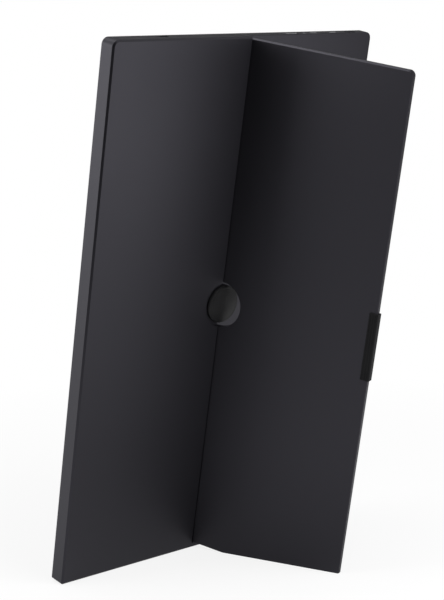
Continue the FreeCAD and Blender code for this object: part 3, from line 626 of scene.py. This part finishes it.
white = floor_place.node("ShaderNodeEmission", {}, {"Color": (1, 1, 1, 1), "Strength": 1.0})
lit = Shade(floor_place.tree, floor_shader.outputs["BSDF"])
from_middle = floor_place.node("ShaderNodeVectorMath", {"operation": "LENGTH"}, {0: floor_place}, 1)


def nearness(reach):
    """1 at the object's middle, falling to 0 at a reach from it."""
    share = 1 - from_middle / reach
    return share.maths("MAXIMUM", share, 0.0)


glossy_rays = ray_kind(floor_place, "Is Glossy Ray", "Is Transmission Ray")
# Painted shadow: for mirrored rays the paper's colour darkens towards the object's middle.
painted_shadow_share = glossy_rays * nearness(painted_shadow_reach)
link(floor_shader, Base_Color=blend(floor_place, painted_shadow_share, [paper_tone] * 3, [painted_shadow_tone] * 3))
seen = ray_kind(floor_place, "Is Camera Ray") * (1 - seen_shadow * nearness(shadow_reach))
mirrored = glossy_rays * (1 - mirrored_shadow * nearness(shadow_reach))
floor_mix = floor_place.node("ShaderNodeMixShader", {}, {0: seen + mirrored, 1: lit, 2: white})
floor_end = floor_paint.node_tree.nodes["Material Output"]
floor_paint.node_tree.links.new(floor_mix.socket, floor_end.inputs["Surface"])
floor_mesh.materials.append(floor_paint)

# Surroundings: a plain white studio wall all round, seen and mirrored at full white.
# For the rest it gives a soft grey light, so that the lamps keep their shadows.
wall_light = 0.35
world = bpy.data.worlds.new("studio")
bpy.context.scene.world = world
world.use_nodes = True
world_tree = world.node_tree
soft_light = world_tree.nodes["Background"]
soft_light.inputs["Color"].default_value = (1, 1, 1, 1)
soft_light.inputs["Strength"].default_value = wall_light
start = Shade(world_tree, soft_light.outputs[0])
seen_rays = ray_kind(start, "Is Camera Ray", "Is Glossy Ray", "Is Transmission Ray")
backdrop = start.node("ShaderNodeBackground", {}, {"Color": (1, 1, 1, 1), "Strength": 1.0})
world_mix = start.node("ShaderNodeMixShader", {}, {0: seen_rays, 1: start, 2: backdrop})
world_tree.links.new(world_mix.socket, world_tree.nodes["World Output"].inputs["Surface"])

# Lamps: four square soft boxes on stands. The key hangs high behind the back, the side box is mirrored
# by the left wall and the flap, the back box by the top of the back, and the crest box by the bevel
# along the flap's top.
middle = (cad_box[0] + cad_box[1]) / 2


def soft_panel(name, azimuth, distance, height, size, brightness):
    """Soft box at an azimuth from +Y towards +X round the object, which faces the object's middle."""
    lamp = bpy.data.lights.new(name, "AREA")
    lamp.shape = "SQUARE"
    lamp.size = size
    lamp.energy = brightness * math.pi * size * size
    box = bpy.data.objects.new(name, lamp)
    turn = math.radians(azimuth)
    place = Vector((middle.x + distance * math.sin(turn), middle.y + distance * math.cos(turn), height))
    box.location = place
    box.rotation_mode = "QUATERNION"
    box.rotation_quaternion = (middle - place).to_track_quat("-Z", "Y")
    box.visible_camera = False
    bpy.context.scene.collection.objects.link(box)
    return box


key = soft_panel("key_panel", azimuth=-8, distance=0.45, height=0.62, size=0.5, brightness=5.0)
key.visible_glossy = False
soft_panel("side_panel", azimuth=119, distance=1.1, height=0.43, size=0.65, brightness=3.8)
soft_panel("back_panel", azimuth=-30, distance=0.38, height=0.2, size=0.28, brightness=1.65)
soft_panel("crest_panel", azimuth=127, distance=0.2, height=0.85, size=0.4, brightness=3.5)

# Camera: a long lens behind the monitor and to its left, a little above its top edge.
# It stands on a tripod that is a hair out of level.
aim = Vector((0.0012, -0.0439, 0.1802))
view_distance = 1.1179
view_azimuth = math.radians(42.057)
view_height = math.radians(10.25)
view_roll = math.radians(-0.292)
lens = 100.86
sight = Vector((math.sin(view_azimuth) * math.cos(view_height),
                math.cos(view_azimuth) * math.cos(view_height), math.sin(view_height)))
camera = bpy.data.objects.new("camera", bpy.data.cameras.new("camera"))
camera.data.lens = lens
camera.location = aim + sight * view_distance
camera.rotation_mode = "QUATERNION"
camera.rotation_quaternion = (-sight).to_track_quat("-Z", "Y") @ Quaternion((0, 0, 1), view_roll)
bpy.context.scene.collection.objects.link(camera)
bpy.context.scene.camera = camera
bpy.context.scene.view_settings.view_transform = "Standard"

# Cards: two of black paper stand on the floor, one before the camera and one on its right, so that the
# edges and the feet show a dark side. A grey one hangs high beyond the object, for the top faces. All
# three are only mirrored, and keep no light off the object.


def card(name, tone, place, facing, width, height):
    """Paper card about a place that faces a direction."""
    paper, shader, spot = new_finish(name + "_paper", Roughness=1.0, Specular_IOR_Level=0.0)
    fibre_size = 10 * MM
    fibre = noise(spot, fibre_size)
    link(shader, Base_Color=blend(spot, fibre, [tone] * 3, [1.1 * tone] * 3))
    mesh = bpy.data.meshes.new(name)
    form = bmesh.new()
    bmesh.ops.create_grid(form, x_segments=1, y_segments=1, size=0.5)
    form.to_mesh(mesh)
    form.free()
    mesh.materials.append(paper)
    board = bpy.data.objects.new(name, mesh)
    turn = facing.to_track_quat("Z", "Y").to_matrix().to_4x4()
    board.matrix_world = Matrix.Translation(place) @ turn @ Matrix.Diagonal((width, height, 1, 1))
    board.visible_camera = False
    board.visible_diffuse = False
    board.visible_shadow = False
    board.visible_transmission = False
    bpy.context.scene.collection.objects.link(board)


black_tone = 0.005
card_distance = 0.42
card_right = 0.36
card_left = 0.53
card_height = 1.1
flat_sight = Vector((sight.x, sight.y, 0)).normalized()
to_left = Vector((flat_sight.y, -flat_sight.x, 0))
under_aim = Vector((aim.x, aim.y, 0))
skyward = Vector((0, 0, 1))
card_middle = under_aim + flat_sight * card_distance + to_left * (card_left - card_right) / 2
card("front_card", black_tone, card_middle + skyward * card_height / 2, -flat_sight,
     card_left + card_right, card_height)
right_azimuth = math.radians(-66)
right_distance = 0.6
right_width = 0.36
right_height = 0.6
to_right = Vector((math.sin(right_azimuth), math.cos(right_azimuth), 0))
right_middle = under_aim + to_right * right_distance + skyward * right_height / 2
card("right_card", black_tone, right_middle, -to_right, right_width, right_height)
grey_tone = 0.4
overhead_height = 0.9
overhead_setback = 1.3
overhead_size = 2.4
overhead_middle = under_aim + skyward * overhead_height - flat_sight * overhead_setback
card("overhead_card", grey_tone, overhead_middle, -skyward, overhead_size, overhead_size)
